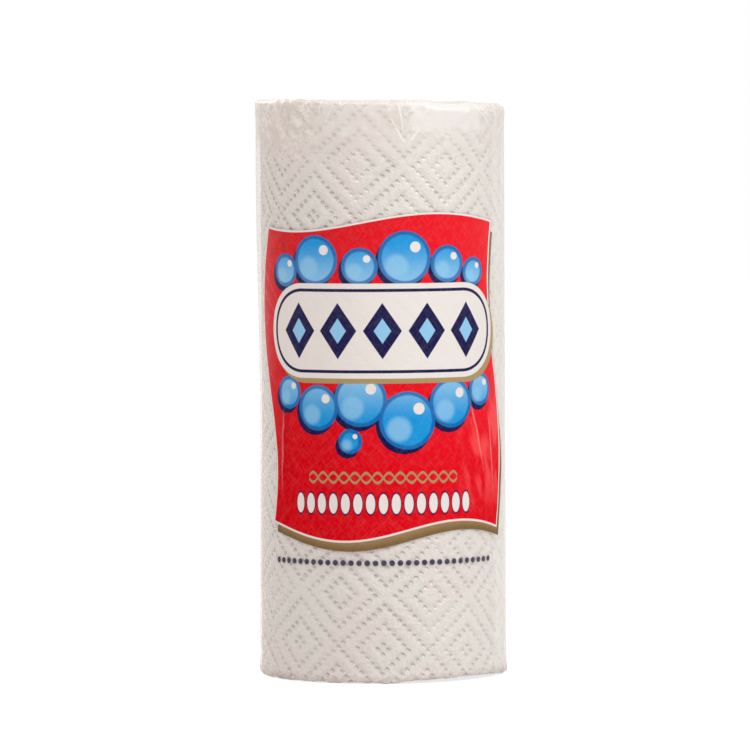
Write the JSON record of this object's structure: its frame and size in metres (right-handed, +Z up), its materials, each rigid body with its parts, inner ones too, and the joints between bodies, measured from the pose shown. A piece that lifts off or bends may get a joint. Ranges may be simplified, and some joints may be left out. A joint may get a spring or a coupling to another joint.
{
  "type": "paper towel roll",
  "caption": "Roll of embossed two-ply paper towel wound on a card core, sealed in a clear film wrapper with folded ends.",
  "frame": {"origin": "centre of the base that the pack stands on", "axes": "+Z up along the roll's axis, -Y towards the front of the pack, +X to the viewer's right"},
  "size_m": [0.1204, 0.1206, 0.2812],
  "materials": {
    "towel": "matte embossed",
    "core": "matte",
    "film": "clear gloss"
  },
  "bodies": {
    "root": {"film_wrap": "film", "towel_roll": "towel", "core_tube": "core"}
  },
  "joints": []
}
